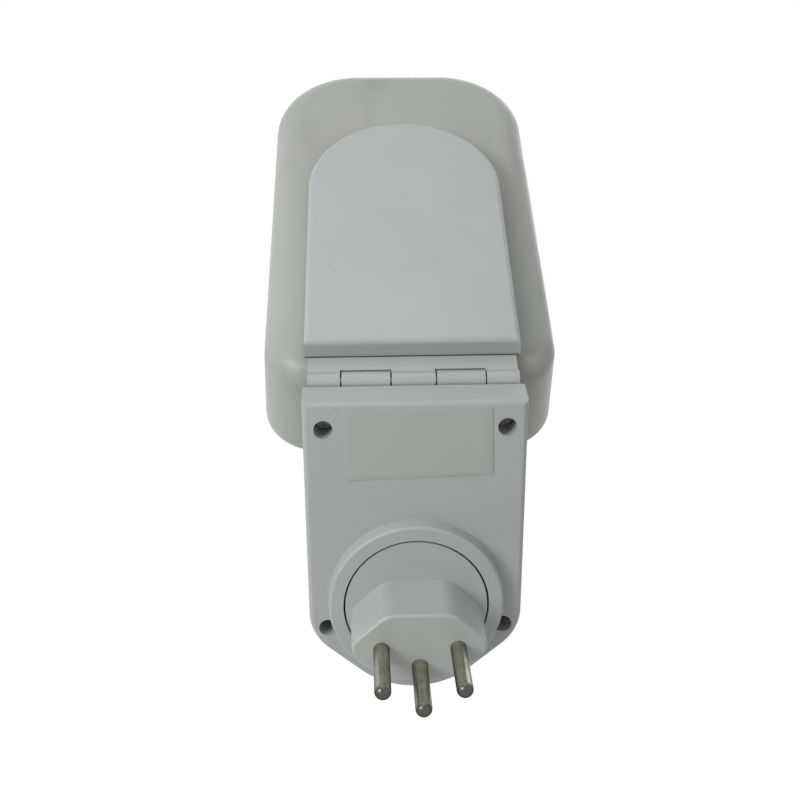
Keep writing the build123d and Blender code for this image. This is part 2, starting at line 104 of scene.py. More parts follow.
# Sockets that share their names with others: a Mix node's colours, and a Mix Shader's two shaders
COLOUR_MIX_INPUTS = (6, 7)
COLOUR_MIX_OUTPUT = 2
SHADER_MIX_INPUTS = (1, 2)
# Squeeze of the scratches that run along y, as pins are drawn
DRAWN = (1.0, 0.04, 1.0)


def node_points(name):
    """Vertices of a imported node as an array, in the part's frame."""
    mesh = frame["nodes"][name].data
    points = np.empty(len(mesh.vertices) * 3, np.float32)
    mesh.vertices.foreach_get("co", points)
    return points.reshape(-1, 3).astype(float)


def head_box(name):
    """Lowest and highest x, u and n of a node of the head."""
    points = (node_points(name) - HINGE) @ HEAD_AXES.T
    return points.min(0), points.max(0)


def head_to_part(points):
    """Points given as x, u, n turned into the part's frame: hinge plus each share along its direction."""
    return HINGE + points @ HEAD_AXES


def row_places(count, pitch):
    """Places of a row of like things about its middle, one pitch apart."""
    return (np.arange(count) - (count - 1) / 2) * pitch


def superellipse(half_width, half_height, power, count):
    """Closed outline |x/a|^p + |y/b|^p = 1: powers of cosine and sine, sampled evenly in angle."""
    angle = np.arange(count) * 2 * pi / count
    across = np.sign(np.cos(angle)) * np.abs(np.cos(angle)) ** (2 / power)
    up = np.sign(np.sin(angle)) * np.abs(np.sin(angle)) ** (2 / power)
    return np.stack([half_width * across, half_height * up], -1)


def plate_rings(outline, thickness, edge):
    """Rings of a thin plate: the outline shrunk to its middle on top, carried out to a quarter-round
    edge, down the side and back to the middle underneath. Height runs from 0 to the thickness."""
    turn = np.linspace(0, pi / 2, EDGE_STEPS)
    inset = np.append(edge * (1 - np.sin(turn)), 0)
    height = np.append(thickness - edge * (1 - np.cos(turn)), 0)
    reach = np.abs(outline).max(0)
    shrink = (reach - inset[:, None]) / reach
    level = height[:, None, None] * np.ones((1, len(outline), 1))
    sides = np.concatenate([outline * shrink[:, None, :], level], -1)
    inner = sides[0, :, :2] * np.array(INNER_RINGS)[:, None, None]
    top = np.concatenate([inner, np.full((*inner.shape[:2], 1), thickness)], -1)
    bottom = top[::-1] * np.array([1.0, 1.0, 0.0])
    return np.concatenate([top, sides, bottom])


def tube_rings(outline, radius, count):
    """Closed tube along a flat closed outline: a circle carried along it, square to its tangent."""
    tangent = np.roll(outline, -1, 0) - np.roll(outline, 1, 0)
    tangent /= np.linalg.norm(tangent, axis=1, keepdims=True)
    outward = np.stack([tangent[:, 1], -tangent[:, 0]], -1)
    angle = np.arange(count) * 2 * pi / count
    flat = outline[:, None, :] + radius * np.cos(angle)[None, :, None] * outward[:, None, :]
    height = radius * np.sin(angle)[None, :, None] * np.ones((len(outline), 1, 1))
    return np.concatenate([flat, height], -1)


def grid_faces(rows, columns, wrap_rows):
    """Quads of a grid that closes across its columns, and across its rows where asked."""
    index = np.arange(rows * columns).reshape(rows, columns)
    next_row = np.roll(index, -1, 0)
    quads = np.stack([index, np.roll(index, -1, 1), np.roll(next_row, -1, 1), next_row], -1)
    return (quads if wrap_rows else quads[:-1]).reshape(-1, 4)


def closed_rings(rings):
    """Points and faces of stacked rings with both ends closed by a fan."""
    rows, columns, _ = rings.shape
    points = np.concatenate([rings.reshape(-1, 3), rings[:1].mean(1), rings[-1:].mean(1)])
    first = np.arange(columns)
    last = first + (rows - 1) * columns
    faces = grid_faces(rows, columns, wrap_rows=False).tolist()
    faces += np.stack([np.full(columns, rows * columns), np.roll(first, -1), first], -1).tolist()
    faces += np.stack([np.full(columns, rows * columns + 1), last, np.roll(last, -1)], -1).tolist()
    return points, faces


def join_shapes(shapes):
    """Several point and face sets as one, with the face numbers carried on."""
    faces, start = [], 0
    for points, corners in shapes:
        faces += [[start + corner for corner in face] for face in corners]
        start += len(points)
    return np.concatenate([points for points, _ in shapes]), faces


def head_plate(outline, thickness, edge, centre, level, facing=-1.0):
    """Plate on the head: local height runs along minus n, towards the room, or along n if so faced."""
    points, faces = closed_rings(plate_rings(outline, thickness, edge))
    placed = points * np.array([1.0, 1.0, facing]) + np.array([*centre, level])
    return head_to_part(placed), faces


def head_loop(rings, centre, level):
    """Points and faces of a closed tube on the head, laid at a level of n."""
    points = head_to_part(rings.reshape(-1, 3) + np.array([*centre, level]))
    return points, grid_faces(*rings.shape[:2], wrap_rows=True).tolist()


def build_piece(name, points, faces, material, body, slot):
    """Mesh object at the origin from points and faces, with outward normals, riding its body."""
    mesh = bpy.data.meshes.new(name)
    mesh.from_pydata(points.tolist(), [], faces)
    shell = bmesh.new()
    shell.from_mesh(mesh)
    bmesh.ops.recalc_face_normals(shell, faces=shell.faces[:])
    shell.to_mesh(mesh)
    shell.free()
    mesh.polygons.foreach_set("use_smooth", np.ones(len(mesh.polygons), bool))
    mesh.set_sharp_from_angle(angle=CREASE)
    mesh.materials.append(material)
    piece = bpy.data.objects.new(name, mesh)
    bpy.context.scene.collection.objects.link(piece)
    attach(piece, body)


def new_material(name):
    """Empty node material with a Principled shader; returns it, its node tree and the shader."""
    material = bpy.data.materials.new(name)
    material.use_nodes = True
    return material, material.node_tree, material.node_tree.nodes["Principled BSDF"]


def noise(tree, scale, detail, stretch=(1.0, 1.0, 1.0)):
    """Noise on Object coordinates; stretch squeezes it along an axis. Returns its value output."""
    place = tree.nodes.new("ShaderNodeTexCoord")
    mapping = tree.nodes.new("ShaderNodeMapping")
    mapping.inputs["Scale"].default_value = stretch
    tree.links.new(place.outputs["Object"], mapping.inputs["Vector"])
    texture = tree.nodes.new("ShaderNodeTexNoise")
    texture.inputs["Scale"].default_value = scale
    texture.inputs["Detail"].default_value = detail
    tree.links.new(mapping.outputs["Vector"], texture.inputs["Vector"])
    return texture.outputs["Fac"]


def spread(tree, value, source, target):
    """Map a value from a source range to a target range, held at both ends."""
    node = tree.nodes.new("ShaderNodeMapRange")
    tree.links.new(value, node.inputs["Value"])
    node.inputs["From Min"].default_value = source[0]
    node.inputs["From Max"].default_value = source[1]
    node.inputs["To Min"].default_value = target[0]
    node.inputs["To Max"].default_value = target[1]
    return node.outputs["Result"]


def tint(tree, factor, first, second):
    """Mix two colours, or a colour output and a colour, by a factor."""
    node = tree.nodes.new("ShaderNodeMix")
    node.data_type = "RGBA"
    tree.links.new(factor, node.inputs["Factor"])
    for socket, colour in zip(COLOUR_MIX_INPUTS, (first, second)):
        if isinstance(colour, bpy.types.NodeSocket):
            tree.links.new(colour, node.inputs[socket])
        else:
            node.inputs[socket].default_value = (*colour, 1.0)
    return node.outputs[COLOUR_MIX_OUTPUT]


def scaled(colour, share):
    """Colour with each channel taken to a share of itself."""
    return tuple(share * part for part in colour)


def grain(tree, shader, height, strength, distance):
    """Bump from a height value into the shader's normal."""
    bump = tree.nodes.new("ShaderNodeBump")
    bump.inputs["Strength"].default_value = strength
    bump.inputs["Distance"].default_value = distance
    tree.links.new(height, bump.inputs["Height"])
    tree.links.new(bump.outputs["Normal"], shader.inputs["Normal"])


def moulded(name, colour, roughness, shade=0.95, grit=0.08, dust=0.3):
    """Moulded plastic: broad faint tone changes, sparse dust specks, uneven gloss and a fine grain."""
    material, tree, shader = new_material(name)
    drift = spread(tree, noise(tree, scale=38.0, detail=3.0), source=(0.35, 0.65), target=(0.0, 1.0))
    tone = tint(tree, drift, scaled(colour, shade), colour)
    speck = spread(tree, noise(tree, scale=620.0, detail=1.0), source=(0.75, 0.81), target=(0.0, dust))
    tone = tint(tree, speck, tone, scaled(colour, share=0.62))
    tree.links.new(tone, shader.inputs["Base Color"])
    worn = (roughness - 0.05, roughness + 0.07)
    gloss = spread(tree, noise(tree, scale=160.0, detail=4.0), source=(0.3, 0.7), target=worn)
    tree.links.new(gloss, shader.inputs["Roughness"])
    grain(tree, shader, noise(tree, scale=2600.0, detail=2.0), strength=grit, distance=0.0001)
    return material


def milky(name, colour, stain):
    """Milky plastic: soft scattering, yellowish tone drift, long grey smudges and a worn satin gloss."""
    material, tree, shader = new_material(name)
    drift = spread(tree, noise(tree, scale=14.0, detail=2.0), source=(0.35, 0.7), target=(0.0, 1.0))
    warm = (colour[0] * 1.02, colour[1] * 0.99, colour[2] * 0.93)
    tone = tint(tree, drift, colour, warm)
    smears = noise(tree, scale=60.0, detail=4.0, stretch=(1.0, 0.35, 0.35))
    tone = tint(tree, spread(tree, smears, source=(0.53, 0.76), target=(0.0, 0.5)), tone, stain)
    scuffs = noise(tree, scale=210.0, detail=2.0, stretch=(1.0, 0.2, 0.2))
    scuff = spread(tree, scuffs, source=(0.66, 0.74), target=(0.0, 0.22))
    tone = tint(tree, scuff, tone, scaled(colour, share=0.6))
    tree.links.new(tone, shader.inputs["Base Color"])
    shader.inputs["Specular IOR Level"].default_value = 0.28
    shader.inputs["Subsurface Weight"].default_value = 0.35
    shader.inputs["Subsurface Radius"].default_value = (1.0, 1.0, 0.8)
    shader.inputs["Subsurface Scale"].default_value = 0.004
    gloss = spread(tree, noise(tree, scale=40.0, detail=2.0), source=(0.3, 0.7), target=(0.28, 0.40))
    tree.links.new(gloss, shader.inputs["Roughness"])
    grain(tree, shader, noise(tree, scale=1700.0, detail=2.0), strength=0.06, distance=0.0001)
    return material


def painted_dark_tip(tree, tip):
    """1 at a pin's tip, falling to 0 over its rounded end: the mask of the painted shade on that end. Tip
    gives both depths along y.
    """
    place = tree.nodes.new("ShaderNodeTexCoord")
    parts = tree.nodes.new("ShaderNodeSeparateXYZ")
    tree.links.new(place.outputs["Object"], parts.inputs["Vector"])
    return spread(tree, parts.outputs["Y"], source=tip, target=(1.0, 0.0))


def metal(name, colour, roughness, stretch=(1.0, 1.0, 1.0), edge=1.0, tip=None):
    """Plated metal: drawn scratches along one axis, cloudy tarnish, a grey tint at its turned edges as
    painted shade in their reflections and, where a tip is given, an end painted dark as painted shade in
    its reflections."""
    material, tree, shader = new_material(name)
    shader.inputs["Metallic"].default_value = 1.0
    # Painted shade: a grey specular tint dims the reflections at grazing edges, standing in for dark
    # surroundings
    shader.inputs["Specular Tint"].default_value = (edge, edge, edge, 1.0)
    tarnish = spread(tree, noise(tree, scale=300.0, detail=4.0), source=(0.4, 0.7), target=(0.0, 1.0))
    tone = tint(tree, tarnish, colour, scaled(colour, share=0.72))
    if tip is not None:
        # Painted shade: the rounded end is darkened to stand in for the dark reflections on it
        tone = tint(tree, painted_dark_tip(tree, tip), tone, scaled(colour, share=0.2))
    tree.links.new(tone, shader.inputs["Base Color"])
    scratch = noise(tree, scale=1500.0, detail=2.0, stretch=stretch)
    gloss = spread(tree, scratch, source=(0.3, 0.7), target=(roughness - 0.08, roughness + 0.12))
    tree.links.new(gloss, shader.inputs["Roughness"])
    grain(tree, shader, scratch, strength=0.08, distance=0.00005)
    return material


def clear_window(name, colour):
    """Clear window: full transmission with faint finger haze in its roughness."""
    material, tree, shader = new_material(name)
    shader.inputs["Base Color"].default_value = (*colour, 1.0)
    shader.inputs["Transmission Weight"].default_value = 1.0
    shader.inputs["IOR"].default_value = 1.45
    haze = spread(tree, noise(tree, scale=70.0, detail=4.0), source=(0.45, 0.75), target=(0.02, 0.14))
    tree.links.new(haze, shader.inputs["Roughness"])
    return material


def direct_view(tree):
    """1 for rays from the camera and for mirrored and transmitted rays, 0 for light on surfaces."""
    path = tree.nodes.new("ShaderNodeLightPath")
    value = path.outputs["Is Camera Ray"]
    for name in ("Is Glossy Ray", "Is Transmission Ray"):
        either = tree.nodes.new("ShaderNodeMath")
        either.operation = "MAXIMUM"
        tree.links.new(value, either.inputs[0])
        tree.links.new(path.outputs[name], either.inputs[1])
        value = either.outputs["Value"]
    return value


class FinishSettings(PropertyGroup):
    """Colours of the moulded and metal finishes."""
    housing: FloatVectorProperty(
        name="Housing", description="Colour of the socket unit's plastic",
        default=(0.440, 0.472, 0.446), subtype="COLOR", min=0, max=1)
    cap: FloatVectorProperty(
        name="Cap", description="Colour of the head's arched cap",
        default=(0.455, 0.490, 0.490), subtype="COLOR", min=0, max=1)
    hood: FloatVectorProperty(
        name="Hood", description="Colour of the milky hood",
        default=(0.414, 0.447, 0.416), subtype="COLOR", min=0, max=1)
    stain: FloatVectorProperty(
        name="Hood smudges", description="Colour of the smudges on the hood",
        default=(0.30, 0.31, 0.28), subtype="COLOR", min=0, max=1)
    plug: FloatVectorProperty(
        name="Plug", description="Colour of the plug insert",
        default=(0.445, 0.477, 0.452), subtype="COLOR", min=0, max=1)
    fascia: FloatVectorProperty(
        name="Fascia", description="Colour of the fascia",
        default=(0.42, 0.43, 0.42), subtype="COLOR", min=0, max=1)
    keys: FloatVectorProperty(
        name="Keys", description="Colour of the keys",
        default=(0.16, 0.17, 0.18), subtype="COLOR", min=0, max=1)
    nickel: FloatVectorProperty(
        name="Pins", description="Colour of the plated pins",
        default=(0.50, 0.478, 0.398), subtype="COLOR", min=0, max=1)
    # Length of the pin's end that is painted dark as shade in its reflections
    dark_tip_length: FloatProperty(
        name="Dark tip", description="Length of a pin's dark end", default=0.0022, unit="LENGTH")
    steel: FloatVectorProperty(
        name="Steel", description="Colour of the screws, hinge pin and cell",
        default=(0.3, 0.3, 0.29), subtype="COLOR", min=0, max=1)
    brass: FloatVectorProperty(
        name="Brass", description="Colour of the outlet's contacts",
        default=(0.66, 0.5, 0.22), subtype="COLOR", min=0, max=1)
    can: FloatVectorProperty(
        name="Can", description="Colour of the capacitor's can",
        default=(0.55, 0.55, 0.57), subtype="COLOR", min=0, max=1)
    board: FloatVectorProperty(
        name="Boards", description="Colour of the lacquer on the boards",
        default=(0.02, 0.12, 0.045), subtype="COLOR", min=0, max=1)
    dark: FloatVectorProperty(
        name="Dark plastic", description="Colour of the relay, switches and ring",
        default=(0.025, 0.025, 0.027), subtype="COLOR", min=0, max=1)
    crystal: FloatVectorProperty(
        name="Display", description="Colour of the display's ground",
        default=(0.30, 0.33, 0.25), subtype="COLOR", min=0, max=1)
    window: FloatVectorProperty(
        name="Window", description="Colour of the clear window",
        default=(0.95, 0.97, 0.97), subtype="COLOR", min=0, max=1)


class LabelSettings(PropertyGroup):
    """Size and place of the bare label on the back."""
    width: FloatProperty(
        name="Width", description="Width of the label", default=0.0375, unit="LENGTH")
    height: FloatProperty(
        name="Height", description="Height of the label", default=0.0186, unit="LENGTH")
    thickness: FloatProperty(
        name="Thickness", description="Thickness of the label", default=0.00015, unit="LENGTH")
    across: FloatProperty(
        name="Across", description="Middle of the label across the back", default=0.0008, unit="LENGTH")
    rise: FloatProperty(
        name="Rise", description="Middle of the label above the line pins", default=0.0462, unit="LENGTH")
    tilt: FloatProperty(
        name="Tilt", description="Turn of the label on the back", default=radians(1.6), subtype="ANGLE")
    colour: FloatVectorProperty(
        name="Colour", description="Colour of the label's film",
        default=(0.415, 0.450, 0.418), subtype="COLOR", min=0, max=1)


class SeamShadowSettings(PropertyGroup):
    """Painted shadow line under the cap's lower edge, standing for the shade in the gap between the cap and
    the leaf.
    """
    width: FloatProperty(
        name="Width", description="How far the line stands out from the cap", default=0.0002, unit="LENGTH")
    height: FloatProperty(
        name="Height", description="Height of the line on the leaf", default=0.0003, unit="LENGTH")
    inset: FloatProperty(
        name="Inset", description="Distance from the cap's sides to the line",
        default=0.0004, unit="LENGTH")
    colour: FloatVectorProperty(
        name="Colour", description="Colour of the line",
        default=(0.06, 0.065, 0.065), subtype="COLOR", min=0, max=1)


class DisplaySettings(PropertyGroup):
    """What the display shows and how large it is."""
    time: StringProperty(name="Time", description="Four digits on the display", default="1200", maxlen=4)
    digit_height: FloatProperty(
        name="Digit height", description="Height of a digit", default=0.0105, unit="LENGTH")
    digit_width: FloatProperty(
        name="Digit width", description="Width of a digit", default=0.0056, unit="LENGTH")
    pitch: FloatProperty(
        name="Pitch", description="Distance from digit to digit", default=0.0086, unit="LENGTH")
    stroke: FloatProperty(
        name="Stroke", description="Width of a segment", default=0.0011, unit="LENGTH")
    film: FloatProperty(
        name="Film", description="Height of a segment over the display", default=0.00006, unit="LENGTH")
    day_marks: IntProperty(name="Day marks", description="Small marks under the time", default=7, min=0)
    ink: FloatVectorProperty(
        name="Ink", description="Colour of the segments",
        default=(0.018, 0.022, 0.02), subtype="COLOR", min=0, max=1)
    frame_radius: FloatProperty(
        name="Frame radius", description="Radius of the bead around the window",
        default=0.0006, unit="LENGTH")
    frame_gap: FloatProperty(
        name="Frame gap", description="Distance from the window to the bead", default=0.0016, unit="LENGTH")
    frame_colour: FloatVectorProperty(
        name="Frame", description="Colour of the bead around the window",
        default=(0.2, 0.21, 0.22), subtype="COLOR", min=0, max=1)


class KeyMarkSettings(PropertyGroup):
    """Raised marks on the keys."""
    length_share: FloatProperty(
        name="Length share", description="Length of a mark as a share of its key",
        default=0.42, subtype="FACTOR", min=0.1, max=0.8)
    stroke_share: FloatProperty(
        name="Stroke share", description="Width of a mark as a share of its length",
        default=0.2, subtype="FACTOR", min=0.05, max=0.5)
    height: FloatProperty(
        name="Height", description="Height of a mark", default=0.00025, unit="LENGTH")
    colour: FloatVectorProperty(
        name="Colour", description="Colour of the marks",
        default=(0.62, 0.63, 0.62), subtype="COLOR", min=0, max=1)


class StageSettings(PropertyGroup):
    """Camera, lamps and floor."""
    camera_place: FloatVectorProperty(
        name="Camera", description="Place of the camera",
        default=(-0.012, -0.2124, 0.139), subtype="XYZ", unit="LENGTH")
    pan: FloatProperty(
        name="Pan", description="Camera turn about the vertical", default=radians(-2.0), subtype="ANGLE")
    pitch: FloatProperty(
        name="Pitch", description="Camera tilt, down is negative", default=radians(-19.2), subtype="ANGLE")
    roll: FloatProperty(
        name="Roll", description="Camera roll", default=radians(0.3), subtype="ANGLE")
    lens: FloatProperty(
        name="Lens", description="Focal length in millimetres", default=45.0, unit="CAMERA")
    sensor: FloatProperty(
        name="Sensor", description="Sensor width in millimetres", default=36.0, unit="CAMERA")
    floor_drop: FloatProperty(
        name="Floor drop", description="Floor below the part", default=0.14, unit="LENGTH")
    floor_size: FloatProperty(
        name="Floor size", description="Side of the floor", default=8.0, unit="LENGTH")
    floor_glow: FloatProperty(
        name="Floor glow", description="Brightness of the floor where seen", default=1.08)
    floor_colour: FloatVectorProperty(
        name="Floor colour", description="Colour of the floor as it takes shadows and lights the part",
        default=(0.6, 0.6, 0.6), subtype="COLOR", min=0, max=1)
    glow_share: FloatProperty(
        name="Glow share", description="Share of the glow in the floor that is seen",
        default=0.9, subtype="FACTOR", min=0, max=1)
    key_place: FloatVectorProperty(
        name="Key lamp place", description="Place of the key lamp",
        default=(-0.40, -0.30, 0.31), subtype="XYZ", unit="LENGTH")
    key_size: FloatProperty(
        name="Key lamp size", description="Side of the key lamp", default=0.26, unit="LENGTH")
    key_power: FloatProperty(
        name="Key lamp", description="Power of the key lamp", default=1.9, unit="POWER")
    top_place: FloatVectorProperty(
        name="Top lamp place", description="Place of the lamp overhead",
        default=(-0.05, 0.0, 0.55), subtype="XYZ", unit="LENGTH")
    top_size: FloatProperty(
        name="Top lamp size", description="Side of the lamp overhead", default=0.40, unit="LENGTH")
    top_power: FloatProperty(
        name="Top lamp", description="Power of the lamp overhead", default=0.34, unit="POWER")
    room_place: FloatVectorProperty(
        name="Room lamp place", description="Place of the lamp on the room's side",
        default=(0.25, 0.85, 0.2), subtype="XYZ", unit="LENGTH")
    room_size: FloatProperty(
        name="Room lamp size", description="Side of the lamp on the room's side",
        default=0.70, unit="LENGTH")
    room_power: FloatProperty(
        name="Room lamp", description="Power of the lamp on the room's side", default=1.4, unit="POWER")
    ambient: FloatProperty(name="Ambient", description="Light from the surroundings", default=0.425)


class TIMESWITCH_OT_finishes(Operator):
    """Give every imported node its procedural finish"""
    bl_idname = "timeswitch.finishes"
    bl_label = "Finishes"

    def execute(self, context):
        tones = context.scene.timeswitch_finish
        tip_y = node_points("line_pin")[:, 1].min()
        tip = (tip_y + tones.dark_tip_length / 2, tip_y + tones.dark_tip_length)
        housing = moulded("housing_plastic", tones.housing, roughness=0.42)
        plug = moulded("plug_plastic", tones.plug, roughness=0.36)
        cap = moulded("cap_plastic", tones.cap, roughness=0.38, shade=0.965, grit=0.05)
        fascia = moulded("fascia_plastic", tones.fascia, roughness=0.4)
        keys = moulded("key_plastic", tones.keys, roughness=0.45)
        hood = milky("milky_hood", tones.hood, tones.stain)
        # Painted shade: the pins' dark rounded end and grey edge tint stand in for dark reflections
        nickel = metal("dull_nickel", tones.nickel, roughness=0.26, stretch=DRAWN, edge=0.25, tip=tip)
        steel = metal("zinc_steel", tones.steel, roughness=0.34)
        brass = metal("contact_brass", tones.brass, roughness=0.3, stretch=DRAWN)
        can = metal("capacitor_can", tones.can, roughness=0.35, stretch=DRAWN)
        board = moulded("board_lacquer", tones.board, roughness=0.3)
        dark = moulded("dark_plastic", tones.dark, roughness=0.45)
        crystal = moulded("display_crystal", tones.crystal, roughness=0.22, grit=0.01)
        window = clear_window("window_clear", tones.window)
        finishes = {
            housing: ("rear_housing", "front_housing", "hinge_leaf", "outlet_insert"),
            plug: ("plug_insert",),
            cap: ("head_cap",),
            hood: ("hood",),
            fascia: ("fascia",),
            keys: KEYS,
            nickel: ("line_pin", "neutral_pin", "earth_pin"),
            steel: ("housing_screws", "head_screws", "hinge_pin", "backup_cell"),
            brass: ("line_contact", "neutral_contact", "earth_contact"),
            can: ("capacitor",),
            board: ("power_board", "timer_board"),
            dark: ("relay", "push_switches", "plug_ring"),
            crystal: ("display",),
            window: ("display_window",),
        }
        for material, names in finishes.items():
            for name in names:
                slots = frame["nodes"][name].material_slots
                if not slots:
                    raise RuntimeError(f"{name} has no material slot")
                for slot in slots:
                    slot.material = material
        return {"FINISHED"}


class TIMESWITCH_OT_label(Operator):
    """Stick the bare label on the back of the socket unit"""
    bl_idname = "timeswitch.label"
    bl_label = "Back label"

    def execute(self, context):
        label = context.scene.timeswitch_label
        back = node_points("rear_housing")
        back_y = back[back[:, 2] > label.rise - label.height / 2][:, 1].min()
        outline = superellipse(label.width / 2, label.height / 2, power=40.0, count=160)
        points, faces = closed_rings(plate_rings(outline, label.thickness, edge=label.thickness / 3))
        flat = points[:, :2] @ np.array(Matrix.Rotation(label.tilt, 2)).T
        placed = np.stack(
            [flat[:, 0] + label.across, back_y - points[:, 2], flat[:, 1] + label.rise], -1)
        film = moulded("label_film", label.colour, roughness=0.36, shade=0.98, grit=0.02, dust=0.0)
        build_piece("back_label", placed, faces, film, "socket_unit", "white_plastic")
        return {"FINISHED"}


class TIMESWITCH_OT_seam_shadow(Operator):
    """Lay the painted shadow line under the cap's lower edge"""
    bl_idname = "timeswitch.seam"
    bl_label = "Cap seam shadow"

    def execute(self, context):
        seam = context.scene.timeswitch_seam
        low, high = head_box("head_cap")
        half_width = (high[0] - low[0]) / 2 - seam.inset
        outline = superellipse(half_width, seam.width / 2, power=8.0, count=64)
        spot = ((low[0] + high[0]) / 2, low[1] - seam.width / 2)
        points, faces = head_plate(outline, seam.height, seam.height / 4, spot, low[2], facing=1.0)
        # Painted shadow: a dark strip standing for the shade in the gap under the cap's lower edge
        gap = moulded("seam_shadow", seam.colour, roughness=0.6)
        build_piece("cap_seam_shadow", points, faces, gap, "head", "white_plastic")
        return {"FINISHED"}


class TIMESWITCH_OT_display(Operator):
    """Draw the digits on the display and the bead around its window"""
    bl_idname = "timeswitch.display"
    bl_label = "Display"

    def execute(self, context):
        show = context.scene.timeswitch_display
        self.digits(show)
        self.window_bead(show)
        return {"FINISHED"}

    @staticmethod
    def digits(show):
        """Bars of the digits, two dots between hours and minutes, and the row of day marks below."""
        low, high = head_box("display")
        centre = (low + high) / 2
        half = np.array([show.digit_width - show.stroke, show.digit_height - show.stroke]) / 2
        inked = []
        places = row_places(len(show.time), show.pitch)
        places += np.sign(places) * show.stroke
        for digit, place in zip(show.time, places):
            for segment in DIGIT_SEGMENTS[digit]:
                across, up, flat = SEGMENT_SHARES[segment]
                length = (half[0] if flat else half[1] / 2) - show.stroke * SEGMENT_GAP
                size = (length, show.stroke / 2) if flat else (show.stroke / 2, length)
                spot = (centre[0] - place - across * half[0], centre[1] + up * half[1])
                inked.append((superellipse(*size, power=4.0, count=24), spot))
        dot = superellipse(show.stroke / 2, show.stroke / 2, power=2.0, count=20)
        inked += [(dot, (centre[0], centre[1] + up * half[1])) for up in DOT_HEIGHTS]
        mark = superellipse(show.stroke, show.stroke * DAY_MARK_HALF, power=6.0, count=20)
        below = centre[1] - half[1] - DAY_MARK_DROP * show.stroke
        days = row_places(show.day_marks, show.pitch * DAY_MARK_PITCH)
        inked += [(mark, (centre[0] - place, below)) for place in days]
        shapes = [head_plate(outline, show.film, show.film / 3, spot, low[2]) for outline, spot in inked]
        ink = moulded("display_ink", show.ink, roughness=0.35, grit=0.0)
        build_piece("display_digits", *join_shapes(shapes), ink, "head", "display_glass")

    @staticmethod
    def window_bead(show):
        """Round bead on the fascia, along a rounded outline about the window."""
        low, high = head_box("display_window")
        reach = (high - low)[:2] / 2 + show.frame_gap
        rings = tube_rings(superellipse(*reach, power=9.0, count=160), show.frame_radius, count=14)
        points, faces = head_loop(rings, ((high + low) / 2)[:2], low[2])
        bead = moulded("window_bead", show.frame_colour, roughness=0.35)
        build_piece("window_frame", points, faces, bead, "head", "fascia_plastic")


class TIMESWITCH_OT_key_marks(Operator):
    """Raise a plain mark on each key: one, two or three bars, and a ring on the large key"""
    bl_idname = "timeswitch.key_marks"
    bl_label = "Key marks"

    def execute(self, context):
        marks = context.scene.timeswitch_keys
        paint = moulded("mark_paint", marks.colour, roughness=0.4)
        for count, key in enumerate(KEYS, start=1):
            low, high = head_box(key)
            centre = ((low + high) / 2)[:2]
            length = (high[0] - low[0]) / 2 * marks.length_share
            stroke = length * marks.stroke_share
            if key == "manual_key":
                circle = superellipse(length, length, power=2.0, count=96)
                rings = tube_rings(circle, stroke / 2, count=12)
                flattened = rings * np.array([1.0, 1.0, marks.height / stroke * 2])
                points, faces = head_loop(flattened, centre, low[2])
            else:
                bar = superellipse(length / 2, stroke / 2, power=5.0, count=32)
                spots = [(centre[0], centre[1] + row) for row in row_places(count, BAR_PITCH * stroke)]
                points, faces = join_shapes(
                    [head_plate(bar, marks.height, marks.height / 3, spot, low[2]) for spot in spots])
            build_piece(f"{key}_mark", points, faces, paint, key, "key_plastic")
        return {"FINISHED"}


